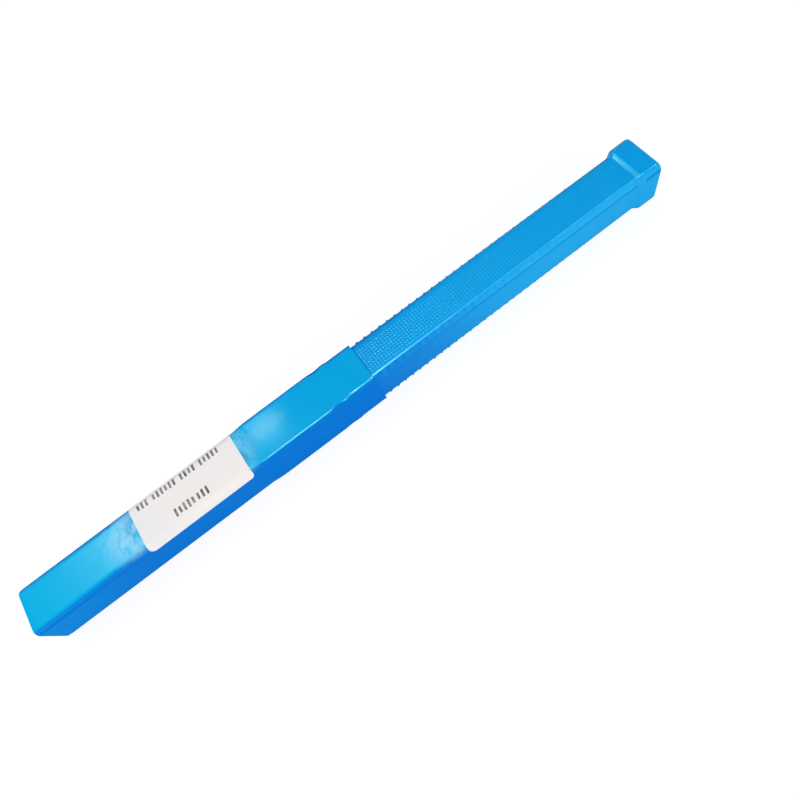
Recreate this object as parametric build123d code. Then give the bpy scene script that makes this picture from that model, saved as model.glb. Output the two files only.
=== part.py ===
from build123d import *
import math
import os

# Telescopic square packing tube holding a square push broach, in millimetres.
# The tube lies on one of its flat sides. +X runs from the closed end to the head, +Z is up,
# and the origin is on the resting surface, under the middle of the tube.
# A station is a distance along the tube from the closed end.

# Lengths along the tube
broach_length = 245.0
base_length = 131.6
cover_length = 150.0
end_wall = 1.2
end_gap = 0.3

# Base tube section, which steps out at the shoulder
body_width = 17.05
body_corner = 2.5
mouth_step = 0.075
mouth_corner = 1.65
collar_corner = 2.2
wall = 0.5

# Base tube stretches, measured back from the mouth
mouth_zone_length = 43.0
shoulder_length = 4.5
dimple_setback = 14.35
collar_length = 10.6
collar_blend = 1.2

# Base tube ends
end_bevel_length = 1.7
end_bevel_drop = 0.15
end_edge_chamfer = 0.3

# Detent dimples pressed into the corners of the mouth
dimple_length = 6.0
nub_wall = 0.3
nub_clearance = 0.1

# Sliding tube section, drafted from its open end to its neck
slide_clearance = 0.1
cover_corner = 2.4
cover_draft = 0.4

# Ratchet ridges across the corners of the sliding tube
ridge_pitch = 3.09
strip_depth = 0.2
ridge_height = 0.4
ridge_faded_height = 0.12
ridge_foot = 1.3
ridge_crest = 0.4
ridge_width = 1.7
ridge_root = 0.15
ridge_margin = 2.5
ridge_head_distance = 26.0

# Head at the closed end of the sliding tube
head_corner = 2.5
head_length = 6.9
flare_length = 2.6
flare_foot = 0.03
flare_steps = 4
head_edge_radius = 1.1

# Label wrapped over the top of the base tube
label_length = 40.0
label_gap = 0.8
label_thickness = 0.1
label_front_drop = 0.2
label_back_drop = 9.6
label_corner = 1.8

# Square push broach
broach_width = 9.0
corner_break = 0.15
pilot_length = 22.0
pilot_diameter = 8.9
shank_length = 32.0
shank_diameter = 8.6
tooth_count = 17
first_tooth_diameter = 9.1
tooth_land = 1.2
gullet_depth = 1.25
tooth_back = 2.6
broach_end_chamfer = 0.8
floor_clearance = 0.15

# Sizes that follow from those above
overall_length = broach_length + 2 * (end_wall + end_gap)
mouth_width = body_width + 2 * mouth_step
axis_height = mouth_width / 2
cover_width = mouth_width - 2 * (wall + slide_clearance)
neck_width = cover_width - 2 * cover_draft
cover_start = overall_length - cover_length
neck_station = overall_length - head_length - flare_length
shoulder_station = base_length - mouth_zone_length - shoulder_length
label_start = shoulder_station - label_gap - label_length
dimple_station = base_length - dimple_setback
corner_count = 4
root_two = math.sqrt(2)


def corner_reach(width, radius):
    """Distance from the tube's axis to the crown of a rounded corner."""
    return root_two * (width / 2 - radius) + radius


def strip_reach(width, radius):
    """Distance from the tube's axis to the flat ratchet strip along a corner."""
    return corner_reach(width, radius) - strip_depth


def section_plane(station):
    """Plane across the tube at a station, with its normal along +X."""
    return Plane(
        origin=(station - overall_length / 2, 0, axis_height),
        x_dir=(0, 1, 0),
        z_dir=(1, 0, 0),
    )


def rounded_square(station, width, radius):
    """Rounded square section of the tube at a station."""
    return section_plane(station) * RectangleRounded(width, width, radius)


def straight_bar(start, end, width, radius):
    """Bar of one rounded square section between two stations."""
    return extrude(rounded_square(start, width, radius), amount=end - start)


def blended_bar(sections):
    """Bar through (station, width, corner radius) sections whose corners may change freely."""
    return loft([rounded_square(*section) for section in sections], ruled=True)


def corner_angle(index):
    """Angle in degrees from +Y to the diagonal through one of the tube's four corners."""
    return 360 * (index + 0.5) / corner_count


def at_corner(index, station, reach):
    """Place on the diagonal through one of the tube's four corners."""
    angle = math.radians(corner_angle(index))
    return Pos(
        station - overall_length / 2,
        reach * math.cos(angle),
        axis_height + reach * math.sin(angle),
    )


# Base tube
def base_outside():
    """Outer form of the base tube: closed end, body, shoulder, mouth zone and collar."""
    collar_station = base_length - collar_length
    body = straight_bar(0, shoulder_station, body_width, body_corner)
    rim = body.faces().sort_by(Axis.X)[0]
    body = chamfer(rim.edges(), end_bevel_drop, end_bevel_length, reference=rim)
    rim = body.faces().sort_by(Axis.X)[0]
    body = chamfer(rim.edges(), end_edge_chamfer)
    shoulder = blended_bar(
        [
            (shoulder_station, body_width, body_corner),
            (shoulder_station + shoulder_length, mouth_width, mouth_corner),
        ]
    )
    blend = blended_bar(
        [
            (collar_station, mouth_width, mouth_corner),
            (collar_station + collar_blend, mouth_width, collar_corner),
        ]
    )
    zone = straight_bar(shoulder_station + shoulder_length, collar_station, mouth_width, mouth_corner)
    collar = straight_bar(collar_station + collar_blend, base_length, mouth_width, collar_corner)
    return body + shoulder + zone + blend + collar


def base_inside():
    """Space inside the base tube, open at the mouth and stepped out behind the shoulder."""
    collar_station = base_length - collar_length
    inner_width = mouth_width - 2 * wall
    step_station = shoulder_station + shoulder_length
    body = straight_bar(end_wall, step_station, body_width - 2 * wall, body_corner - wall)
    zone = straight_bar(step_station, collar_station, inner_width, mouth_corner - wall)
    collar = straight_bar(collar_station, base_length, inner_width, collar_corner - wall)
    return body + zone + collar


def dimple_balls(index):
    """Pressed hollow and nub at one corner, as two balls with one centre."""
    nub_reach = strip_reach(cover_width, cover_corner) + ridge_height + nub_clearance
    depth = corner_reach(mouth_width, mouth_corner) - nub_reach - nub_wall
    hollow_radius = ((dimple_length / 2) ** 2 + depth**2) / (2 * depth)
    place = at_corner(index, dimple_station, nub_reach + nub_wall + hollow_radius)
    return place * Sphere(hollow_radius), place * Sphere(hollow_radius + nub_wall)


def base_tube():
    """Base tube: closed end, body, shoulder, mouth with four detent dimples."""
    collar_station = base_length - collar_length
    shell = base_outside() - base_inside()
    zone = straight_bar(dimple_station - dimple_length, collar_station, mouth_width, mouth_corner)
    for index in range(corner_count):
        hollow, nub = dimple_balls(index)
        shell = shell + (nub & zone) - hollow
    return shell


# Sliding tube
def cover_width_at(station):
    """Width of the sliding tube at a station before its flare."""
    share = (station - cover_start) / (neck_station - cover_start)
    return cover_width - 2 * cover_draft * share


def cover_bar(start_width, end, drop, turn=0):
    """Square bar from the sliding tube's open end, its sides drafted by a drop at the neck."""
    plane = section_plane(cover_start)
    bar = extrude(plane * Rot(0, 0, turn) * Rectangle(start_width, start_width), amount=end - cover_start)
    sides = bar.faces() - bar.faces().filter_by(Axis.X)
    angle = math.degrees(math.atan(drop / (neck_station - cover_start)))
    return draft(sides, plane, angle)


def rounded_cover(offset, end):
    """Sliding tube's bar, offset outwards, with its four long corners rounded."""
    bar = cover_bar(cover_width + 2 * offset, end, cover_draft)
    corners = bar.edges() - bar.faces().filter_by(Axis.X).edges()
    return fillet(corners, cover_corner + offset)


def ratchet_flats():
    """Diamond bar whose sides cut the flat ratchet strips along the rounded corners."""
    across = 2 * strip_reach(cover_width, cover_corner)
    return cover_bar(across, neck_station, root_two * cover_draft, turn=corner_angle(0))


def ridge():
    """Ratchet ridge at the origin: a low flat-topped roof across its strip, facing +Y."""
    flank = (ridge_foot - ridge_crest) / 2 / ridge_height
    root = ridge_foot / 2 + flank * ridge_root
    outline = Polygon(
        (-root, -ridge_root),
        (root, -ridge_root),
        (ridge_crest / 2, ridge_height),
        (-ridge_crest / 2, ridge_height),
        align=None,
    )
    return extrude(outline, amount=ridge_width / 2, both=True)


def ridge_stations():
    """Stations of the ridges. At rest each dimple lies midway between two of them."""
    first = cover_start + ridge_margin
    last = overall_length - ridge_head_distance
    before = int((dimple_station - first) / ridge_pitch - 0.5)
    after = int((last - dimple_station) / ridge_pitch - 0.5)
    return [dimple_station + (step + 0.5) * ridge_pitch for step in range(-before - 1, after + 1)]


def ridge_rise(station):
    """Height of a ridge over its strip, full inside the mouth and fading to the head."""
    last = overall_length - ridge_head_distance
    share = min(max((station - base_length) / (last - base_length), 0), 1)
    return ridge_height + share * (ridge_faded_height - ridge_height)


def ratchet_rows():
    """All ratchet ridges, in one row along each of the four corners."""
    rows = []
    for index in range(corner_count):
        roof = Rot(corner_angle(index), 0, 0) * ridge()
        for station in ridge_stations():
            strip = strip_reach(cover_width_at(station), cover_corner)
            sink = ridge_height - ridge_rise(station)
            rows.append(at_corner(index, station, strip - sink) * roof)
    return rows


def head():
    """Enlarged square head with rounded end edges and a smooth flare that starts at a fine foot."""
    foot_width = neck_width + 2 * flare_foot
    sections = []
    for step in range(flare_steps + 1):
        share = step / flare_steps
        rise = (1 - math.cos(math.pi * share)) / 2
        width = foot_width + rise * (mouth_width - foot_width)
        corner = cover_corner + rise * (head_corner - cover_corner)
        sections.append((neck_station + share * flare_length, width, corner))
    block = straight_bar(overall_length - head_length, overall_length, mouth_width, head_corner)
    block = fillet(block.faces().sort_by(Axis.X)[-1].edges(), head_edge_radius)
    return blended_bar(sections) + block


def sliding_tube():
    """Sliding tube: four ratcheted corners, tapered sides and an enlarged head."""
    body = (rounded_cover(0, neck_station) & ratchet_flats()) + ratchet_rows()
    return body + head() - rounded_cover(-wall, overall_length - end_wall)


# Label
def label_flap(plane, drop):
    """Block that reaches down a plane by its drop, with its two lower corners rounded."""
    outline = Rectangle(label_length, drop + 2 * body_corner, align=(Align.CENTER, Align.MIN))
    outline = fillet(outline.vertices().sort_by(Axis.Y)[:2], label_corner)
    return plane * extrude(Pos(0, -drop, 0) * outline, amount=2 * body_corner)


def label():
    """Paper label over the top of the base tube and down both of its sides."""
    middle = label_start + label_length / 2 - overall_length / 2
    flat = body_width / 2 - body_corner
    crown = axis_height + flat
    wrap_width = body_width + 2 * label_thickness
    skin = straight_bar(label_start, label_start + label_length, wrap_width, body_corner + label_thickness)
    skin = skin - straight_bar(0, shoulder_station, body_width, body_corner)
    top = Pos(middle, 0, axis_height + body_width / 2) * Box(label_length, 2 * flat, body_corner)
    slope = Plane(origin=(middle, -flat, crown), x_dir=(1, 0, 0), z_dir=(0, -1, 1))
    side = Plane(origin=(middle, flat, crown), x_dir=(-1, 0, 0), z_dir=(0, 1, 0))
    front = label_flap(slope, (body_corner + label_front_drop) / root_two)
    return skin & (top + front + label_flap(side, label_back_drop))


# Broach
def tooth_pitch():
    """Distance between the cutting edges of neighbouring teeth."""
    return (broach_length - pilot_length - shank_length) / tooth_count


def tooth_radius(index):
    """Radius of a tooth, growing from the round start to the corners of the square."""
    first = first_tooth_diameter / 2
    last = broach_width / root_two - corner_break
    return first + (last - first) * index / (tooth_count - 1)


def broach_outline():
    """Half outline of the turned broach, from the shank's end at x = 0 to the pilot's tip."""
    pitch = tooth_pitch()
    points = [(0, 0), (0, shank_diameter / 2 - broach_end_chamfer)]
    points.append((broach_end_chamfer, shank_diameter / 2))
    points.append((shank_length, shank_diameter / 2))
    for index in reversed(range(tooth_count)):
        start = broach_length - pilot_length - (index + 1) * pitch
        radius = tooth_radius(index)
        floor = radius - gullet_depth
        points.append((start, floor))
        points.append((start + pitch - tooth_land - tooth_back, floor))
        points.append((start + pitch - tooth_land, radius))
        points.append((start + pitch, radius))
    points.append((broach_length - pilot_length, pilot_diameter / 2))
    points.append((broach_length - broach_end_chamfer, pilot_diameter / 2))
    points.append((broach_length, pilot_diameter / 2 - broach_end_chamfer))
    points.append((broach_length, 0))
    return points


def square_push_broach():
    """Push broach: turned teeth cut to a square that grows from a round pilot."""
    turned = revolve(Polygon(*broach_outline(), align=None), Axis.X)
    prism = Plane.YZ * extrude(Rectangle(broach_width, broach_width), amount=broach_length)
    floor = axis_height - neck_width / 2 + wall
    middle = floor + floor_clearance + broach_width / 2
    return Pos(end_wall + end_gap - overall_length / 2, 0, middle) * (turned & prism)


parts = {
    "base_tube": base_tube(),
    "sliding_tube": sliding_tube(),
    "label": label(),
    "square_push_broach": square_push_broach(),
}

os.makedirs("parts", exist_ok=True)
for name, part in parts.items():
    export_step(part, f"parts/{name}.step")
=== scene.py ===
"""Looks of a telescopic square packing tube that holds a square push broach.

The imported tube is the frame. This script dresses its four solids, adds the raised dots on the
sliding tube and the plain print on the label, and sets the studio. All lengths are in metres.
"""
import logging
import math
from dataclasses import dataclass, field
from enum import Enum

import bmesh
import bpy
from mathutils import Matrix, Vector


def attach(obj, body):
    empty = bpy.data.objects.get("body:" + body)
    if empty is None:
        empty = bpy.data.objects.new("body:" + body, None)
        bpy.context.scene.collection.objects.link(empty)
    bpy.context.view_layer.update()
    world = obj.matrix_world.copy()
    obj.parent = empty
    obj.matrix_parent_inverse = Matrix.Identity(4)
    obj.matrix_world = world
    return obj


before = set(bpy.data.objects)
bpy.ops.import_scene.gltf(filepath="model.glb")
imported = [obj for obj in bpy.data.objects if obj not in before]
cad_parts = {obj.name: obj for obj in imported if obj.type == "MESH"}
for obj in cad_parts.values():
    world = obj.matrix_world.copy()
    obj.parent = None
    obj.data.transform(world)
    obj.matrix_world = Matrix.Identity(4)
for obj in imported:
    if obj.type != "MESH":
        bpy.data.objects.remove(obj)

Colour = tuple[float, float, float]
Point = tuple[float, float, float]
Span = tuple[float, float]

log = logging.getLogger("packing_tube")
MM = 0.001


class Body(Enum):
    """The bodies that pieces ride on."""

    BASE = "base"
    COVER = "cover"


class Part(Enum):
    """The solids of the frame, which are also the record's material slots."""

    BASE_TUBE = "base_tube"
    SLIDING_TUBE = "sliding_tube"
    LABEL = "label"
    BROACH = "square_push_broach"


class Tree(Enum):
    """Kinds of node group."""

    SHADER = "ShaderNodeTree"
    GEOMETRY = "GeometryNodeTree"


class Socket(Enum):
    """Kinds of socket on a node group."""

    NUMBER = "NodeSocketFloat"
    COUNT = "NodeSocketInt"
    VECTOR = "NodeSocketVector"
    COLOUR = "NodeSocketColor"
    GEOMETRY = "NodeSocketGeometry"


class Mixed(Enum):
    """What a Mix node mixes: its data type, then the numbers of its two inputs and its result."""

    NUMBER = ("FLOAT", 2, 3, 0)
    COLOUR = ("RGBA", 6, 7, 2)


class Bench:
    """A node tree with short calls for making and joining nodes."""

    def __init__(self, tree: bpy.types.NodeTree) -> None:
        """Takes the shader or geometry tree that the nodes go into."""
        self.tree = tree

    def feed(self, socket: bpy.types.NodeSocket, value: object) -> None:
        """Joins a socket to another one, or gives it a plain value.

        Args:
            socket: The input that takes the value.
            value: A socket, a number, a vector, a material, or a colour without its alpha.
        """
        if isinstance(value, bpy.types.NodeSocket):
            self.tree.links.new(value, socket)
        elif socket.type == "RGBA":
            socket.default_value = (*value, 1.0)
        else:
            socket.default_value = value

    def node(
        self, kind: str, given: dict[str | int, object] | None = None, **settings: object
    ) -> bpy.types.Node:
        """Makes a node, sets its properties and feeds its inputs.

        Args:
            kind: The node's type name.
            given: What each input takes, by the input's name or number.
            settings: Properties of the node by name.

        Returns:
            The new node.
        """
        made = self.tree.nodes.new(kind)
        for name, value in settings.items():
            setattr(made, name, value)
        for key, value in (given or {}).items():
            self.feed(made.inputs[key], value)
        return made

    def maths(self, operation: str, *values: object) -> bpy.types.NodeSocket:
        """Makes a maths node with its inputs in order, and returns its result."""
        given = dict(enumerate(values))
        return self.node("ShaderNodeMath", given, operation=operation).outputs[0]

    def vector(self, operation: str, *values: object) -> bpy.types.NodeSocket:
        """Makes a vector maths node with its inputs in order, and returns its vector result."""
        given = dict(enumerate(values))
        return self.node("ShaderNodeVectorMath", given, operation=operation).outputs[0]

    def mix(self, what: Mixed, share: object, low: object, high: object) -> bpy.types.NodeSocket:
        """Mixes two numbers or two colours.

        Args:
            what: Which of these it mixes.
            share: How much of the second one, from 0 to 1.
            low: The number or colour at 0.
            high: The number or colour at 1.

        Returns:
            The result socket.
        """
        data_type, first, second, result = what.value
        given = {0: share, first: low, second: high}
        return self.node("ShaderNodeMix", given, data_type=data_type).outputs[result]

    def band(
        self, value: object, limits: Span, low: float = 0.0, high: float = 1.0
    ) -> bpy.types.NodeSocket:
        """Turns a value between two limits into one from low to high, with smooth ends."""
        given = dict(enumerate((value, *limits, low, high)))
        return self.node("ShaderNodeMapRange", given, interpolation_type="SMOOTHSTEP").outputs[0]

    def noise(self, given: dict[str, object]) -> bpy.types.NodeSocket:
        """Makes smooth noise from its inputs by name, and returns its value."""
        return self.node("ShaderNodeTexNoise", given).outputs["Fac"]

    def place(self) -> bpy.types.NodeSocket:
        """Reads the place on the piece, in Object coordinates."""
        return self.node("ShaderNodeTexCoord").outputs["Object"]

    def split(self, vector: bpy.types.NodeSocket) -> bpy.types.NodeOutputs:
        """Splits a vector into its X, Y and Z sockets, which go by name."""
        return self.node("ShaderNodeSeparateXYZ", {0: vector}).outputs

    def join(self, **parts: object) -> bpy.types.NodeSocket:
        """Joins X, Y and Z into a vector. One that isn't given is 0."""
        return self.node("ShaderNodeCombineXYZ", parts).outputs[0]

    def show(self, shader: bpy.types.Node, end: str = "ShaderNodeOutputMaterial") -> None:
        """Ends the tree in a shader, with an output node of the type named."""
        self.node(end, {"Surface": shader.outputs[0]})


def blank_bench(owner: bpy.types.Material | bpy.types.World) -> Bench:
    """Switches a material's or world's nodes on and clears them.

    Args:
        owner: The material or world.

    Returns:
        A bench on its nodes.
    """
    owner.use_nodes = True
    owner.node_tree.nodes.clear()
    return Bench(owner.node_tree)


def new_group(
    name: str, tree: Tree, inputs: dict[str, Socket], outputs: dict[str, Socket]
) -> tuple[Bench, bpy.types.NodeOutputs, bpy.types.NodeInputs]:
    """Starts a node group with named sockets.

    Args:
        name: The group's name.
        tree: Its kind of tree.
        inputs: The kind of each input, by name.
        outputs: The kind of each output, by name.

    Returns:
        A bench on the group's nodes, the sockets of what it is given, and those of what it puts
        out.
    """
    group = bpy.data.node_groups.new(name, tree.value)
    for way, sockets in (("INPUT", inputs), ("OUTPUT", outputs)):
        for label, socket in sockets.items():
            group.interface.new_socket(label, in_out=way, socket_type=socket.value)
    bench = Bench(group)
    return bench, bench.node("NodeGroupInput").outputs, bench.node("NodeGroupOutput").inputs


@dataclass(frozen=True)
class PaintedFacingLight:
    """Painted light and shade on the translucent plastic: a lit colour for level faces, a shaded
    one for upright ones, and a darker painted shade for creases.

    The limits are parts of the surface's normal, from 0 to 1. A crease is the nearly upright part
    of a long rounded corner.
    """

    level: Span = (0.84, 1.0)
    crease_starts: Span = (0.05, 0.25)
    crease_ends: Span = (0.66, 0.4)
    lengthwise: Span = (0.2, 0.06)

    def tree(self) -> bpy.types.NodeTree:
        """Builds the group.

        Returns:
            The group's tree.
        """
        colours = ("Lit Level Colour", "Shaded Upright Colour", "Painted Crease Shade")
        bench, given, out = new_group(
            "painted_facing_light",
            Tree.SHADER,
            dict.fromkeys(colours, Socket.COLOUR),
            {"Colour": Socket.COLOUR},
        )
        normal = bench.split(bench.node("ShaderNodeTexCoord").outputs["Normal"])
        rise = bench.maths("ABSOLUTE", normal["Z"])
        turning = bench.maths(
            "MULTIPLY", bench.band(rise, self.crease_starts), bench.band(rise, self.crease_ends)
        )
        long_side = bench.band(bench.maths("ABSOLUTE", normal["X"]), self.lengthwise)
        crease = bench.maths("MULTIPLY", turning, long_side)
        # Level faces take the lit colour and upright ones the shaded colour, both painted light and
        # shade; creases take a darker painted shade.
        level = bench.band(rise, self.level)
        painted_light_colour = bench.mix(Mixed.COLOUR, level, given["Shaded Upright Colour"], given["Lit Level Colour"])
        bench.feed(out["Colour"], bench.mix(Mixed.COLOUR, crease, painted_light_colour, given["Painted Crease Shade"]))
        return bench.tree


@dataclass(frozen=True)
class Mottle:
    """Slow and fine unevenness of a moulded or rolled surface."""

    detail: float = 3.0

    def tree(self) -> bpy.types.NodeTree:
        """Builds the group.

        Returns:
            The group's tree.
        """
        bench, given, out = new_group(
            "mottle",
            Tree.SHADER,
            dict.fromkeys(("Slow Scale", "Fine Scale", "Fine Share"), Socket.NUMBER),
            {"Value": Socket.NUMBER},
        )
        place = bench.place()
        slow, fine = (
            bench.noise({"Vector": place, "Scale": given[label], "Detail": self.detail})
            for label in ("Slow Scale", "Fine Scale")
        )
        bench.feed(out["Value"], bench.mix(Mixed.NUMBER, given["Fine Share"], slow, fine))
        return bench.tree


@dataclass(frozen=True)
class Streaks:
    """Patch about a place on the upper face, smooth or crinkled, for smeared haze, painted sheen
    and darker patches.

    The stretch is the noise's scale along each axis. The patch fades between shares of its own
    size, and it stays on the tube's upper face.
    """

    stretch: Point = (420.0, 240.0, 150.0)
    detail: float = 5.0
    roughness: float = 0.62
    distortion: float = 0.7
    raggedness: float = 1.1
    fades: Span = (0.35, 1.0)
    upper_face: Span = (15.8 * MM, 16.8 * MM)
    patches: Span = (0.30, 0.62)

    def tree(self) -> bpy.types.NodeTree:
        """Builds the group.

        Returns:
            The group's tree.
        """
        bench, given, out = new_group(
            "streaks",
            Tree.SHADER,
            {
                "Centre": Socket.VECTOR,
                "Spread": Socket.VECTOR,
                "Turn": Socket.NUMBER,
                "Crinkle": Socket.NUMBER,
            },
            dict.fromkeys(("Mask", "Height"), Socket.NUMBER),
        )
        place = bench.place()
        turned = bench.node(
            "ShaderNodeVectorRotate",
            {"Vector": place, "Angle": given["Turn"]},
            rotation_type="Z_AXIS",
        )
        noise = bench.noise(
            {
                "Vector": bench.vector("MULTIPLY", turned.outputs[0], self.stretch),
                "Scale": 1.0,
                "Detail": self.detail,
                "Roughness": self.roughness,
                "Distortion": self.distortion,
            }
        )
        away = bench.vector("SUBTRACT", place, given["Centre"])
        spread = bench.vector("MULTIPLY", away, given["Spread"])
        reach = bench.node("ShaderNodeVectorMath", {0: spread}, operation="LENGTH")
        uneven = bench.maths("SUBTRACT", noise, 0.5)
        ragged = bench.maths("MULTIPLY_ADD", uneven, self.raggedness, reach.outputs["Value"])
        near = bench.band(ragged, self.fades, 1.0, 0.0)
        held = bench.maths("MULTIPLY", near, bench.band(bench.split(place)["Z"], self.upper_face))
        smooth = bench.maths("SUBTRACT", 1.0, given["Crinkle"])
        patchy = bench.band(noise, self.patches)
        share = bench.maths("MULTIPLY_ADD", patchy, given["Crinkle"], smooth)
        bench.feed(out["Mask"], bench.maths("MULTIPLY", held, share))
        rise = bench.maths("MULTIPLY", held, noise)
        bench.feed(out["Height"], bench.maths("MULTIPLY", rise, given["Crinkle"]))
        return bench.tree


class EffectGroups:
    """The effects that more than one finish uses, each built once."""

    def __init__(self) -> None:
        """Builds the groups."""
        # Painted light and shade by which way the surface turns.
        self.painted_light = PaintedFacingLight().tree()
        self.mottle = Mottle().tree()
        self.streaks = Streaks().tree()


@dataclass(frozen=True)
class Grain:
    """Scales of a surface's slow and fine unevenness, and the fine one's share."""

    slow: float
    fine: float
    share: float = 0.3

    def value(self, bench: Bench, groups: EffectGroups) -> bpy.types.NodeSocket:
        """Places the mottle in a material and returns its value."""
        given = {"Slow Scale": self.slow, "Fine Scale": self.fine, "Fine Share": self.share}
        return bench.node("ShaderNodeGroup", given, node_tree=groups.mottle).outputs["Value"]


@dataclass(frozen=True)
class Relief:
    """Depth and strength of a surface's fine bumps."""

    depth: float
    strength: float

    def normal(self, bench: Bench, height: bpy.types.NodeSocket) -> bpy.types.NodeSocket:
        """Turns heights into a bumped normal."""
        given = {"Distance": self.depth, "Strength": self.strength, "Height": height}
        return bench.node("ShaderNodeBump", given).outputs[0]


@dataclass(frozen=True)
class ColourRun:
    """A colour that changes along the tube, from one place along X to another."""

    near: Colour
    far: Colour
    start: float
    end: float

    def socket(self, bench: Bench) -> bpy.types.NodeSocket:
        """Makes the nodes that give the colour at each place."""
        share = bench.band(bench.split(bench.place())["X"], (self.start, self.end))
        return bench.mix(Mixed.COLOUR, share, self.near, self.far)


@dataclass(frozen=True)
class SmearAndSheen:
    """A hazy patch on the upper face of the plastic, crinkled by glue or smooth where it bulges. A
    pale one is part haze and part painted reflection, the smooth one is a painted highlight, and a
    dark one only darkens the colour.
    """

    centre: Point
    half_length: float
    half_width: float
    turn: float
    strength: float
    crinkle: float = 1.0
    # The pale default colour is part haze and part painted reflection.
    colour: Colour = (0.22, 0.62, 0.86)

    def patch(self, bench: Bench, groups: EffectGroups) -> bpy.types.NodeOutputs:
        """Places the streaks in a material.

        Args:
            bench: The material's bench.
            groups: The shared effects.

        Returns:
            The patch's mask and height, by name.
        """
        given = {
            "Centre": self.centre,
            "Spread": (1 / self.half_length, 1 / self.half_width, 0.0),
            "Turn": self.turn,
            "Crinkle": self.crinkle,
        }
        return bench.node("ShaderNodeGroup", given, node_tree=groups.streaks).outputs


@dataclass(frozen=True)
class Polish:
    """A smoother stretch of the surface past a place along X."""

    start: float
    end: float
    smoother: float


def new_material(name: str) -> tuple[bpy.types.Material, Bench]:
    """Starts a material and returns it with a bench on its nodes."""
    material = bpy.data.materials.new(name)
    return material, blank_bench(material)


def close_material(bench: Bench, given: dict[str, object]) -> None:
    """Ends a material in one principled shader, whose inputs are given by name."""
    bench.show(bench.node("ShaderNodeBsdfPrincipled", given))


@dataclass(frozen=True)
class PlasticFinish:
    """Glossy dyed plastic of the two tubes, with painted light and shade by which way each face
    turns.
    """

    name: str
    # The level colour is painted light on level faces, the upright colour painted shade on upright
    # faces, and the crease colour painted shade in long corners.
    level: ColourRun
    upright: ColourRun
    crease: Colour
    roughness: float
    polish: Polish = Polish(0.0, 1.0, 0.0)
    smears_and_sheens: tuple[SmearAndSheen, ...] = ()
    gloss_tint: Colour = (0.22, 1.0, 0.97)
    gloss: float = 0.14
    grain: Grain = Grain(55.0, 1400.0, 0.25)
    grain_shade: float = 0.06
    grain_roughness: float = 0.06
    grain_height: float = 0.10
    crinkle_roughness: float = 0.12
    relief: Relief = Relief(0.06 * MM, 0.5)

    def colour_with_painted_light(
        self, bench: Bench, groups: EffectGroups, grain: bpy.types.NodeSocket
    ) -> bpy.types.NodeSocket:
        """Makes the nodes of the dyed colour with its painted light and shade, which the grain
        makes a little uneven.

        Args:
            bench: The material's bench.
            groups: The shared effects.
            grain: The grain's value.

        Returns:
            The colour's socket.
        """
        given = {
            "Lit Level Colour": self.level.socket(bench),
            "Shaded Upright Colour": self.upright.socket(bench),
            "Painted Crease Shade": self.crease,
        }
        # Painted light and shade by which way the face turns.
        painted_light_colour = bench.node("ShaderNodeGroup", given, node_tree=groups.painted_light).outputs["Colour"]
        shade = bench.maths("MULTIPLY_ADD", grain, self.grain_shade, 1.0 - self.grain_shade / 2)
        scaled = bench.node("ShaderNodeVectorMath", {0: painted_light_colour, "Scale": shade}, operation="SCALE")
        return scaled.outputs[0]

    def bare_roughness(self, bench: Bench, grain: bpy.types.NodeSocket) -> bpy.types.NodeSocket:
        """Makes the nodes of the roughness away from the smeared and sheen patches.

        Args:
            bench: The material's bench.
            grain: The grain's value.

        Returns:
            The roughness's socket.
        """
        least = self.roughness - self.grain_roughness / 2
        base = bench.band(
            bench.split(bench.place())["X"],
            (self.polish.start, self.polish.end),
            least,
            least - self.polish.smoother,
        )
        return bench.maths("MULTIPLY_ADD", grain, self.grain_roughness, base)

    def build(self, groups: EffectGroups) -> bpy.types.Material:
        """Makes the material.

        Args:
            groups: The shared effects.

        Returns:
            The material.
        """
        material, bench = new_material(self.name)
        grain = self.grain.value(bench, groups)
        colour = self.colour_with_painted_light(bench, groups, grain)
        rough = self.bare_roughness(bench, grain)
        height = bench.maths("MULTIPLY", grain, self.grain_height)
        # Pale patches mix in haze and painted reflection, the smooth one a painted highlight, and
        # the dark ones a darker colour.
        for smear_and_sheen in self.smears_and_sheens:
            patch = smear_and_sheen.patch(bench, groups)
            share = bench.maths("MULTIPLY", patch["Mask"], smear_and_sheen.strength)
            colour = bench.mix(Mixed.COLOUR, share, colour, smear_and_sheen.colour)
            height = bench.maths("ADD", patch["Height"], height)
            added = self.crinkle_roughness * smear_and_sheen.crinkle
            rough = bench.maths("MULTIPLY_ADD", patch["Mask"], added, rough)
        close_material(
            bench,
            {
                "Base Color": colour,
                "Roughness": rough,
                "Normal": self.relief.normal(bench, height),
                "Specular IOR Level": self.gloss,
                "Specular Tint": self.gloss_tint,
            },
        )
        return material


@dataclass(frozen=True)
class PaperFinish:
    """Coated white label paper, with a faint warm and cool cast and fine fibres."""

    name: str
    warm: Colour
    cool: Colour
    roughness: float
    gloss: float = 0.06
    grain: Grain = Grain(70.0, 2600.0, 0.35)
    grain_roughness: float = 0.1
    cooling: Span = (0.38, 0.66)
    relief: Relief = Relief(0.02 * MM, 0.35)

    def build(self, groups: EffectGroups) -> bpy.types.Material:
        """Makes the material.

        Args:
            groups: The shared effects.

        Returns:
            The material.
        """
        material, bench = new_material(self.name)
        grain = self.grain.value(bench, groups)
        cast = bench.band(grain, self.cooling)
        rough = bench.maths("MULTIPLY_ADD", grain, self.grain_roughness, self.roughness)
        close_material(
            bench,
            {
                "Base Color": bench.mix(Mixed.COLOUR, cast, self.warm, self.cool),
                "Roughness": rough,
                "Normal": self.relief.normal(bench, grain),
                "Specular IOR Level": self.gloss,
            },
        )
        return material


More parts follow.
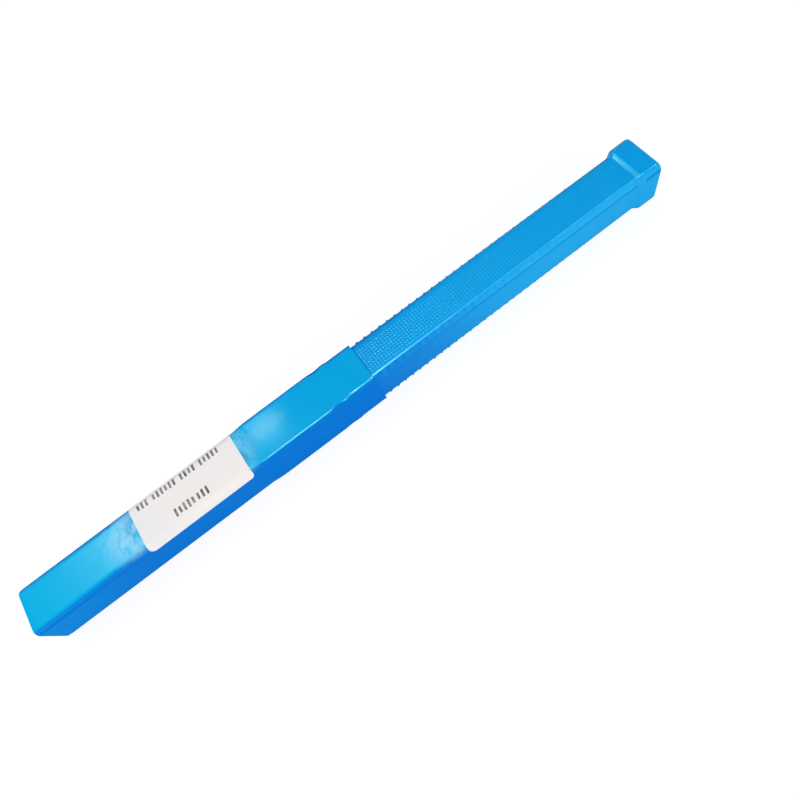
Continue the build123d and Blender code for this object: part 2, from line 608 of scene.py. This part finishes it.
@dataclass(frozen=True)
class InkFinish:
    """Thin grey print on the label, uneven as a worn ribbon leaves it."""

    name: str
    dark: Colour
    faded: Colour
    roughness: float = 0.5
    gloss: float = 0.06
    grain: Grain = Grain(600.0, 3000.0)
    grain_roughness: float = 0.2
    fading: Span = (0.4, 0.62)

    def build(self, groups: EffectGroups) -> bpy.types.Material:
        """Makes the material.

        Args:
            groups: The shared effects.

        Returns:
            The material.
        """
        material, bench = new_material(self.name)
        grain = self.grain.value(bench, groups)
        wear = bench.band(grain, self.fading)
        rough = bench.maths("MULTIPLY_ADD", grain, self.grain_roughness, self.roughness)
        close_material(
            bench,
            {
                "Base Color": bench.mix(Mixed.COLOUR, wear, self.dark, self.faded),
                "Roughness": rough,
                "Specular IOR Level": self.gloss,
            },
        )
        return material


@dataclass(frozen=True)
class SteelFinish:
    """Ground tool steel with fine turning marks round the axis, uneven as a film of oil is."""

    name: str
    light: Colour
    dark: Colour
    roughness: float
    metal: float = 1.0
    grain: Grain = Grain(90.0, 700.0)
    mark_scale: Point = (9000.0, 60.0, 60.0)
    mark_detail: float = 2.0
    mark_roughness: float = 0.3
    shining: Span = (0.1, 0.45)
    relief: Relief = Relief(0.01 * MM, 0.4)

    def build(self, groups: EffectGroups) -> bpy.types.Material:
        """Makes the material.

        Args:
            groups: The shared effects.

        Returns:
            The material.
        """
        material, bench = new_material(self.name)
        stretched = bench.node(
            "ShaderNodeMapping", {"Vector": bench.place(), "Scale": self.mark_scale}
        ).outputs[0]
        marks = bench.noise({"Vector": stretched, "Scale": 1.0, "Detail": self.mark_detail})
        share = bench.maths("MULTIPLY", marks, self.grain.value(bench, groups))
        shine = bench.band(share, self.shining)
        rough = bench.maths("MULTIPLY_ADD", share, self.mark_roughness, self.roughness)
        close_material(
            bench,
            {
                "Base Color": bench.mix(Mixed.COLOUR, shine, self.dark, self.light),
                "Roughness": rough,
                "Normal": self.relief.normal(bench, marks),
                "Metallic": self.metal,
            },
        )
        return material


def dress(part: Part, material: bpy.types.Material) -> bpy.types.Object:
    """Gives a solid of the frame its finish.

    Args:
        part: The solid.
        material: Its material.

    Returns:
        The solid's object.
    """
    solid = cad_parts[part.value]
    solid.data.materials.clear()
    solid.data.materials.append(material)
    return solid


def place_piece(piece: bpy.types.Object, body: Body) -> None:
    """Lets a new piece ride on a body."""
    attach(piece, body.value)


def link_piece(name: str, mesh: bpy.types.Mesh) -> bpy.types.Object:
    """Puts a mesh into the scene as an object at the origin.

    Args:
        name: The object's name.
        mesh: Its mesh.

    Returns:
        The new object.
    """
    piece = bpy.data.objects.new(name, mesh)
    bpy.context.scene.collection.objects.link(piece)
    return piece


def mesh_piece(
    name: str, shape: bmesh.types.BMesh, material: bpy.types.Material
) -> bpy.types.Object:
    """Turns a built shape into an object at the origin.

    Args:
        name: The piece's name.
        shape: The shape, which is freed.
        material: Its material.

    Returns:
        The new object.
    """
    bmesh.ops.recalc_face_normals(shape, faces=shape.faces)
    mesh = bpy.data.meshes.new(name)
    shape.to_mesh(mesh)
    shape.free()
    mesh.materials.append(material)
    return link_piece(name, mesh)


def grown_piece(name: str, tree: bpy.types.NodeTree, given: dict[str, float]) -> bpy.types.Object:
    """Runs a geometry node tree and keeps its result as a plain mesh.

    Args:
        name: The piece's name.
        tree: The tree, which sets the mesh's material.
        given: The value of each named input.

    Returns:
        The new object, with no modifier on it.
    """
    grower = link_piece(f"{name}_seed", bpy.data.meshes.new(f"{name}_seed"))
    modifier = grower.modifiers.new("grow", "NODES")
    modifier.node_group = tree
    for item in tree.interface.items_tree:
        if item.in_out == "INPUT" and item.name in given:
            modifier[item.identifier] = given[item.name]
    bpy.context.view_layer.update()
    held = bpy.context.evaluated_depsgraph_get()
    mesh = bpy.data.meshes.new_from_object(grower.evaluated_get(held))
    grower.modifiers.clear()
    bpy.data.objects.remove(grower)
    mesh.name = name
    return link_piece(name, mesh)


@dataclass
class BaseTube:
    """The outer tube, closed at one end."""

    finish: PlasticFinish

    def build(self, groups: EffectGroups) -> None:
        """Dresses the outer tube."""
        solid = dress(Part.BASE_TUBE, self.finish.build(groups))
        log.info("dressed %s", solid.name)


@dataclass
class DottedPanel:
    """Fine raised dots in rows over the top of the sliding tube, lower towards its head.

    The tube's top face falls in a straight line from its open end to the neck of its head.
    """

    start: float = -20.5 * MM
    end: float = 110.5 * MM
    pitch: float = 1.08 * MM
    rows: int = 9
    radius: float = 0.42 * MM
    height: float = 0.055 * MM
    faded: float = 0.3
    smallest: float = 0.82
    subdivisions: int = 2
    axis_height: float = 8.6 * MM
    open_end: float = -26.0 * MM
    open_width: float = 16.0 * MM
    neck: float = 114.5 * MM
    neck_width: float = 15.2 * MM
    seed: int = 7

    def top_at(self, x: float) -> float:
        """Works out how high the tube's top face is.

        Args:
            x: Place along the tube.

        Returns:
            The top face's height there.
        """
        share = (x - self.open_end) / (self.neck - self.open_end)
        width = self.open_width + share * (self.neck_width - self.open_width)
        return self.axis_height + width / 2

    def sockets(self) -> dict[str, Socket]:
        """Lists the tree's inputs.

        Returns:
            The kind of each input, by name.
        """
        lengths = ("Length", "Width", "Radius", "Height", "Middle", "Top", "Fall", "Faded")
        return {
            "Geometry": Socket.GEOMETRY,
            **dict.fromkeys(lengths, Socket.NUMBER),
            **dict.fromkeys(("Columns", "Rows", "Seed"), Socket.COUNT),
        }

    def dot(self, bench: Bench, given: bpy.types.NodeOutputs) -> bpy.types.NodeSocket:
        """Makes the nodes of one flat dot.

        Args:
            bench: The tree's bench.
            given: The tree's inputs.

        Returns:
            The dot's geometry.
        """
        ball = bench.node(
            "GeometryNodeMeshIcoSphere",
            {"Radius": given["Radius"], "Subdivisions": self.subdivisions},
        )
        flatness = bench.maths("DIVIDE", given["Height"], given["Radius"])
        flat = bench.node(
            "GeometryNodeTransform",
            {"Geometry": ball.outputs["Mesh"], "Scale": bench.join(X=1.0, Y=1.0, Z=flatness)},
        )
        return flat.outputs["Geometry"]

    def points(
        self, bench: Bench, given: bpy.types.NodeOutputs, x: bpy.types.NodeSocket
    ) -> bpy.types.NodeSocket:
        """Makes the nodes of the grid of points, laid on the tube's top face.

        Args:
            bench: The tree's bench.
            given: The tree's inputs.
            x: A point's place along the tube.

        Returns:
            The points' geometry.
        """
        grid = bench.node(
            "GeometryNodeMeshGrid",
            {
                "Size X": given["Length"],
                "Size Y": given["Width"],
                "Vertices X": given["Columns"],
                "Vertices Y": given["Rows"],
            },
        )
        share = bench.maths("ADD", bench.maths("DIVIDE", x, given["Length"]), 0.5)
        fall = bench.maths("MULTIPLY", share, given["Fall"])
        shift = bench.join(X=given["Middle"], Z=bench.maths("SUBTRACT", given["Top"], fall))
        moved = bench.node(
            "GeometryNodeSetPosition", {"Geometry": grid.outputs["Mesh"], "Offset": shift}
        )
        return moved.outputs["Geometry"]

    def dot_scale(
        self, bench: Bench, given: bpy.types.NodeOutputs, x: bpy.types.NodeSocket
    ) -> bpy.types.NodeSocket:
        """Makes the nodes of each dot's size, which varies by chance and falls towards the head.

        The dots stand on the moved points, so the middle comes off their place first.

        Args:
            bench: The tree's bench.
            given: The tree's inputs.
            x: A point's place along the tube.

        Returns:
            The scale's socket.
        """
        chance = bench.node("FunctionNodeRandomValue", {"Seed": given["Seed"]}, data_type="FLOAT")
        limits = {s.name: s for s in chance.inputs if s.type == "VALUE"}
        bench.feed(limits["Min"], self.smallest)
        bench.feed(limits["Max"], 1.0)
        size = next(s for s in chance.outputs if s.type == "VALUE")
        centred = bench.maths("SUBTRACT", x, given["Middle"])
        share = bench.maths("ADD", bench.maths("DIVIDE", centred, given["Length"]), 0.5)
        fade = bench.maths("MULTIPLY", share, bench.maths("SUBTRACT", 1.0, given["Faded"]))
        tall = bench.maths("MULTIPLY", size, bench.maths("SUBTRACT", 1.0, fade))
        return bench.join(X=size, Y=size, Z=tall)

    def tree(self, material: bpy.types.Material) -> bpy.types.NodeTree:
        """Builds the geometry nodes that set the dots out.

        Args:
            material: The dots' material.

        Returns:
            The node tree.
        """
        bench, given, out = new_group(
            "dotted_panel", Tree.GEOMETRY, self.sockets(), {"Geometry": Socket.GEOMETRY}
        )
        x = bench.split(bench.node("GeometryNodeInputPosition").outputs[0])["X"]
        spread = bench.node(
            "GeometryNodeInstanceOnPoints",
            {
                "Points": self.points(bench, given, x),
                "Instance": self.dot(bench, given),
                "Scale": self.dot_scale(bench, given, x),
            },
        )
        real = bench.node("GeometryNodeRealizeInstances", {0: spread.outputs[0]})
        smooth = bench.node("GeometryNodeSetShadeSmooth", {"Geometry": real.outputs[0]})
        paint = bench.node(
            "GeometryNodeSetMaterial",
            {"Geometry": smooth.outputs["Geometry"], "Material": material},
        )
        bench.feed(out["Geometry"], paint.outputs["Geometry"])
        return bench.tree

    def build(self, material: bpy.types.Material) -> bpy.types.Object:
        """Makes the dots as one plain mesh.

        Args:
            material: The dots' material.

        Returns:
            The dots' object.
        """
        columns = round((self.end - self.start) / self.pitch) + 1
        length = (columns - 1) * self.pitch
        given = {
            "Length": length,
            "Width": (self.rows - 1) * self.pitch,
            "Radius": self.radius,
            "Height": self.height,
            "Middle": self.start + length / 2,
            "Top": self.top_at(self.start),
            "Fall": self.top_at(self.start) - self.top_at(self.start + length),
            "Faded": self.faded,
            "Columns": columns,
            "Rows": self.rows,
            "Seed": self.seed,
        }
        return grown_piece("raised_dots", self.tree(material), given)


@dataclass
class SlidingTube:
    """The inner tube with its ratchet rows, dotted panel and head."""

    finish: PlasticFinish
    dot_finish: PlasticFinish
    dots: DottedPanel = field(default_factory=DottedPanel)

    def build(self, groups: EffectGroups) -> None:
        """Dresses the sliding tube and sets its dots.

        Args:
            groups: The shared effects.
        """
        solid = dress(Part.SLIDING_TUBE, self.finish.build(groups))
        dots = self.dots.build(self.dot_finish.build(groups))
        place_piece(dots, Body.COVER)
        log.info("dressed %s and set %s, %d faces", solid.name, dots.name, len(dots.data.polygons))


@dataclass(frozen=True)
class PrintRow:
    """A row of plain printed blocks, in groups."""

    start: float
    across: float
    height: float
    groups: tuple[int, ...]
    step: float
    gap: float


@dataclass
class WrapLabel:
    """The paper label over the top of the outer tube, with plain grey blocks for its print."""

    paper: PaperFinish
    ink: InkFinish
    axis_height: float = 8.6 * MM
    half_flat: float = 6.025 * MM
    corner: float = 2.6 * MM
    half_width: float = 8.625 * MM
    lift: float = 0.012 * MM
    sink: float = 0.03 * MM
    block_share: float = 0.5
    short_share: float = 0.8
    short_every: int = 3
    slices: int = 5
    rows: tuple[PrintRow, ...] = (
        PrintRow(-77.9 * MM, 5.9 * MM, 2.4 * MM, (3, 6, 4, 5), 1.58 * MM, 1.3 * MM),
        PrintRow(-67.8 * MM, -3.5 * MM, 2.9 * MM, (5, 3), 1.66 * MM, 0.3 * MM),
    )

    def on_label(self, x: float, across: float, out: float) -> Vector:
        """Finds a point on the wrapped label.

        Args:
            x: Place along the tube.
            across: Distance over the label from the middle of its top, towards the back.
            out: Distance outwards from its surface.

        Returns:
            The point.
        """
        side = math.copysign(1.0, across)
        past = abs(across) - self.half_flat
        top = self.axis_height + self.half_width
        if past <= 0:
            return Vector((x, across, top + out))
        angle = min(past / self.corner, math.pi / 2)
        reach = self.corner + out
        y = self.half_flat + reach * math.sin(angle)
        return Vector((x, side * y, top - self.corner + reach * math.cos(angle)))

    def block(
        self, shape: bmesh.types.BMesh, x: float, across: float, width: float, height: float
    ) -> None:
        """Adds one printed block, as thin as ink, that follows the label round its corner.

        Args:
            shape: The shape that the block goes into.
            x: Where the block starts along the tube.
            across: Its middle over the label.
            width: Its size along the tube.
            height: Its size over the label.
        """
        corners = (
            (x, self.lift),
            (x + width, self.lift),
            (x + width, -self.sink),
            (x, -self.sink),
        )
        loops = []
        for index in range(self.slices + 1):
            place = across + height * (index / self.slices - 0.5)
            loops.append([shape.verts.new(self.on_label(end, place, out)) for end, out in corners])
        for low, high in zip(loops, loops[1:]):
            for index in range(len(corners)):
                other = (index + 1) % len(corners)
                shape.faces.new((low[index], low[other], high[other], high[index]))
        shape.faces.new(loops[0][::-1])
        shape.faces.new(loops[-1])

    def block_height(self, row: PrintRow, count: int, index: int) -> float:
        """Works out a block's height. Some are short, at places that the group's size shifts."""
        short = (index + count) % self.short_every == 0
        return row.height * (self.short_share if short else 1.0)

    def print_rows(self, material: bpy.types.Material) -> bpy.types.Object:
        """Makes the rows of printed blocks as one piece.

        Args:
            material: The ink.

        Returns:
            The print's object.
        """
        shape = bmesh.new()
        for row in self.rows:
            x = row.start
            for count in row.groups:
                for index in range(count):
                    tall = self.block_height(row, count, index)
                    self.block(shape, x, row.across, row.step * self.block_share, tall)
                    x += row.step
                x += row.gap
        return mesh_piece("label_print", shape, material)

    def build(self, groups: EffectGroups) -> None:
        """Dresses the label and prints its blocks.

        Args:
            groups: The shared effects.
        """
        solid = dress(Part.LABEL, self.paper.build(groups))
        blocks = self.print_rows(self.ink.build(groups))
        place_piece(blocks, Body.BASE)
        log.info("dressed %s and printed %s", solid.name, blocks.name)


@dataclass
class PushBroach:
    """The steel broach inside the tube."""

    finish: SteelFinish

    def build(self, groups: EffectGroups) -> None:
        """Dresses the broach."""
        solid = dress(Part.BROACH, self.finish.build(groups))
        log.info("dressed %s", solid.name)


@dataclass(frozen=True)
class ViewPoint:
    """Where the photograph was taken from. Angles are in degrees, the lens in millimetres."""

    azimuth: float = -5.9152
    elevation: float = 67.0837
    roll: float = -31.5168
    distance: float = 201.27 * MM
    target: Point = (10.12 * MM, -16.53 * MM, 12.0 * MM)
    lens: float = 28.406
    sensor: float = 36.0
    nearest: float = 1 * MM
    farthest: float = 50.0

    def place(self) -> bpy.types.Object:
        """Makes the camera.

        Returns:
            The camera object.
        """
        turn, tilt, roll = (math.radians(v) for v in (self.azimuth, self.elevation, self.roll))
        level = math.cos(tilt)
        back = Vector((math.sin(turn) * level, -math.cos(turn) * level, math.sin(tilt)))
        right = (-back).cross(Vector((0, 0, 1))).normalized()
        upward = right.cross(-back)
        right, upward = (
            right * math.cos(roll) + upward * math.sin(roll),
            upward * math.cos(roll) - right * math.sin(roll),
        )
        camera = bpy.data.objects.new("camera", bpy.data.cameras.new("camera"))
        camera.data.lens = self.lens
        camera.data.sensor_width = self.sensor
        camera.data.clip_start = self.nearest
        camera.data.clip_end = self.farthest
        spot = Matrix.Translation(Vector(self.target) + back * self.distance)
        camera.matrix_world = spot @ Matrix((right, upward, back)).transposed().to_4x4()
        bpy.context.scene.collection.objects.link(camera)
        return camera


@dataclass(frozen=True)
class Softbox:
    """A rectangular white lamp that faces a point, with its width along the tube.

    One that isn't mirrored only lights, and one that doesn't light only shows as a highlight.
    """

    name: str
    place: Point
    aim: Point
    width: float
    height: float
    watts: float
    mirrored: bool = True
    lights: bool = True

    def hang(self) -> None:
        """Makes the lamp."""
        lamp = bpy.data.lights.new(self.name, "AREA")
        lamp.shape = "RECTANGLE"
        lamp.size = self.width
        lamp.size_y = self.height
        lamp.energy = self.watts
        holder = bpy.data.objects.new(self.name, lamp)
        away = (Vector(self.place) - Vector(self.aim)).normalized()
        along = (Vector((1, 0, 0)) - away * away.x).normalized()
        across = away.cross(along)
        turn = Matrix((along, across, away)).transposed().to_4x4()
        holder.matrix_world = Matrix.Translation(self.place) @ turn
        holder.visible_glossy = self.mirrored
        holder.visible_diffuse = self.lights
        bpy.context.scene.collection.objects.link(holder)


@dataclass
class Studio:
    """Pale floor, white surroundings, soft lamps and the camera."""

    view: ViewPoint
    lamps: tuple[Softbox, ...]
    floor_size: float = 6.0
    floor_drop: float = 0.05 * MM
    floor_colour: Colour = (0.86, 0.86, 0.86)
    floor_glow: float = 0.72
    glow_strength: float = 1.15
    sky_light: float = 0.72
    sky_seen: float = 1.0
    card_reach: Span = (0.16, 0.12)
    card_drop: float = 0.025 * MM
    card_colour: Colour = (0.05, 0.05, 0.05)

    def seen(self, bench: Bench) -> bpy.types.NodeSocket:
        """Makes a mask of what the camera sees, straight or in a mirror or glass.

        Args:
            bench: A material's or the world's bench.

        Returns:
            The mask's socket.
        """
        ray = bench.node("ShaderNodeLightPath").outputs
        bent = bench.maths("MAXIMUM", ray["Is Glossy Ray"], ray["Is Transmission Ray"])
        return bench.maths("MAXIMUM", ray["Is Camera Ray"], bent)

    def sheet(self, half_x: float, half_y: float, level: float) -> bmesh.types.BMesh:
        """Makes a level rectangle about the middle of the scene.

        Args:
            half_x: Half its size along X.
            half_y: Half its size along Y.
            level: Its height.

        Returns:
            The shape.
        """
        shape = bmesh.new()
        corners = ((-1, -1), (1, -1), (1, 1), (-1, 1))
        shape.faces.new([shape.verts.new((x * half_x, y * half_y, level)) for x, y in corners])
        return shape

    def lay_card(self) -> None:
        """Lays a dark card round the tube that shows only in reflections, as a flag does."""
        material, bench = new_material("dark_card")
        bench.show(bench.node("ShaderNodeBsdfDiffuse", {"Color": self.card_colour}))
        card = mesh_piece("dark_card", self.sheet(*self.card_reach, -self.card_drop), material)
        card.visible_camera = False
        card.visible_diffuse = False
        card.visible_shadow = False
        card.visible_transmission = False

    def lay_floor(self) -> None:
        """Makes the floor, which looks white to the camera and keeps the object's shadow."""
        material, bench = new_material("floor")
        matt = bench.node("ShaderNodeBsdfDiffuse", {"Color": self.floor_colour})
        glow = bench.node(
            "ShaderNodeEmission", {"Color": (1.0, 1.0, 1.0), "Strength": self.glow_strength}
        )
        share = bench.maths("MULTIPLY", self.seen(bench), self.floor_glow)
        bench.show(
            bench.node("ShaderNodeMixShader", {0: share, 1: matt.outputs[0], 2: glow.outputs[0]})
        )
        half = self.floor_size / 2
        floor = mesh_piece("floor", self.sheet(half, half, -self.floor_drop), material)

    def fill_sky(self) -> None:
        """Makes the surroundings: white to the camera, soft light for the rest."""
        world = bpy.data.worlds.new("surroundings")
        bpy.context.scene.world = world
        bench = blank_bench(world)
        strength = bench.mix(Mixed.NUMBER, self.seen(bench), self.sky_light, self.sky_seen)
        sky = bench.node("ShaderNodeBackground", {"Strength": strength})
        bench.show(sky, "ShaderNodeOutputWorld")

    def build(self) -> None:
        """Sets the whole studio."""
        scene = bpy.context.scene
        scene.view_settings.view_transform = "Standard"
        scene.camera = self.view.place()
        self.lay_floor()
        self.lay_card()
        self.fill_sky()
        for lamp in self.lamps:
            lamp.hang()
        log.info("set the studio with %d lamps", len(self.lamps))


# Colour of the darker patches by the label's two ends.
DARK_PATCH: Colour = (0.0, 0.12, 0.38)
# Level faces get painted light, upright faces and creases painted shade; both colours change along
# the tube.
BLUE = PlasticFinish(
    name="blue_base_plastic",
    level=ColourRun((0.001, 0.44, 0.79), (0.003, 0.375, 0.775), -85 * MM, 5 * MM),
    upright=ColourRun((0.0045, 0.235, 0.68), (0.003, 0.17, 0.61), -124 * MM, -72 * MM),
    crease=(0.001, 0.165, 0.60),
    roughness=0.22,
    polish=Polish(-44 * MM, -37 * MM, 0.1),
    smears_and_sheens=(
        # Pale crinkled patch about the label's end towards the closed end: haze with painted
        # reflection.
        SmearAndSheen(
            (-80 * MM, 0.0, 17 * MM),
            half_length=17 * MM,
            half_width=12 * MM,
            turn=0.6,
            strength=0.8,
            colour=(0.36, 0.66, 0.88),
        ),
        # Darker patch by the label's end towards the closed end.
        SmearAndSheen(
            (-82 * MM, 2 * MM, 17 * MM),
            half_length=4 * MM,
            half_width=7 * MM,
            turn=2.1,
            strength=0.35,
            colour=DARK_PATCH,
        ),
        # Pale crinkled patch about the label's end towards the mouth: haze with painted reflection.
        SmearAndSheen(
            (-41.5 * MM, 1 * MM, 17 * MM),
            half_length=9 * MM,
            half_width=12 * MM,
            turn=-0.7,
            strength=0.6,
        ),
        # Darker patch by the label's end towards the mouth.
        SmearAndSheen(
            (-41 * MM, -2 * MM, 17 * MM),
            half_length=3 * MM,
            half_width=5 * MM,
            turn=1.2,
            strength=0.5,
            colour=DARK_PATCH,
        ),
        # Smooth pale patch on the mouth's top: a painted highlight where the face bulges.
        SmearAndSheen(
            (-29 * MM, 2 * MM, 17 * MM),
            half_length=9 * MM,
            half_width=3.4 * MM,
            turn=0.0,
            strength=0.2,
            crinkle=0.15,
        ),
    ),
    gloss_tint=(0.4, 1.0, 0.94),
    gloss=0.035,
)
SLIDING_BLUE = PlasticFinish(
    name="blue_sliding_plastic",
    # The level and upright colours are darker near the outer tube's mouth as a painted shadow
    # there, and the upright colour lightens towards the head as painted light; level faces get
    # painted light, upright faces and creases painted shade.
    level=ColourRun((0.0005, 0.28, 0.735), (0.0005, 0.335, 0.79), 6 * MM, 38 * MM),
    upright=ColourRun((0.005, 0.195, 0.64), (0.015, 0.371, 0.775), 5 * MM, 72 * MM),
    crease=(0.0005, 0.22, 0.60),
    roughness=0.24,
    polish=Polish(108 * MM, 114 * MM, 0.1),
)
DOT_BLUE = PlasticFinish(
    name="blue_dot_plastic",
    # Level faces get painted light, upright faces and creases painted shade, as on the sliding
    # tube; the upright colour lightens towards the head as painted light.
    level=ColourRun((0.002, 0.37, 0.84), (0.0005, 0.335, 0.79), 30 * MM, 105 * MM),
    upright=ColourRun((0.0005, 0.21, 0.62), (0.0005, 0.31, 0.76), 20 * MM, 100 * MM),
    crease=(0.0005, 0.24, 0.66),
    roughness=0.24,
)
PAPER = PaperFinish(
    name="label_paper", warm=(0.82, 0.78, 0.765), cool=(0.785, 0.77, 0.78), roughness=0.5
)
INK = InkFinish(name="label_ink", dark=(0.08, 0.08, 0.085), faded=(0.28, 0.27, 0.27))
STEEL = SteelFinish(
    name="broach_steel", light=(0.44, 0.44, 0.455), dark=(0.25, 0.255, 0.265), roughness=0.28
)

LABEL_LAMP: Point = (-0.262, 0.215, 0.43)
LABEL_MIDDLE: Point = (-0.078, 0.0, 0.017)
LAMPS = (
    Softbox("label_softbox", LABEL_LAMP, LABEL_MIDDLE, 0.10, 0.2, watts=0.7, mirrored=False),
    Softbox("label_sheen", LABEL_LAMP, LABEL_MIDDLE, 0.10, 0.2, watts=4.0, lights=False),
    Softbox(
        "mouth_strip",
        (-0.07, 0.05, 0.55),
        (-0.07, 0.0, 0.01),
        width=0.19,
        height=0.03,
        watts=19.0,
        lights=False,
    ),
    Softbox(
        "tube_strip",
        (0.235, 0.05, 0.55),
        (0.235, 0.0, 0.01),
        width=0.42,
        height=0.03,
        watts=3.2,
        lights=False,
    ),
    Softbox(
        "flare_panel",
        (-0.118, 0.268, 0.512),
        (0.0, 0.0, 0.016),
        width=0.036,
        height=0.028,
        watts=0.34,
        lights=False,
    ),
    Softbox(
        "front_fill",
        (0.2, -0.8, 0.38),
        (0.0, 0.0, 0.0),
        width=0.6,
        height=0.5,
        watts=4.4,
        mirrored=False,
    ),
)


def main() -> None:
    """Builds each sub-assembly and the studio in order."""
    logging.basicConfig(level=logging.INFO, format="%(name)s: %(message)s")
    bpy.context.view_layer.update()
    groups = EffectGroups()
    BaseTube(BLUE).build(groups)
    SlidingTube(SLIDING_BLUE, DOT_BLUE).build(groups)
    WrapLabel(PAPER, INK).build(groups)
    PushBroach(STEEL).build(groups)
    Studio(ViewPoint(), LAMPS).build()


if __name__ == "__main__":
    main()
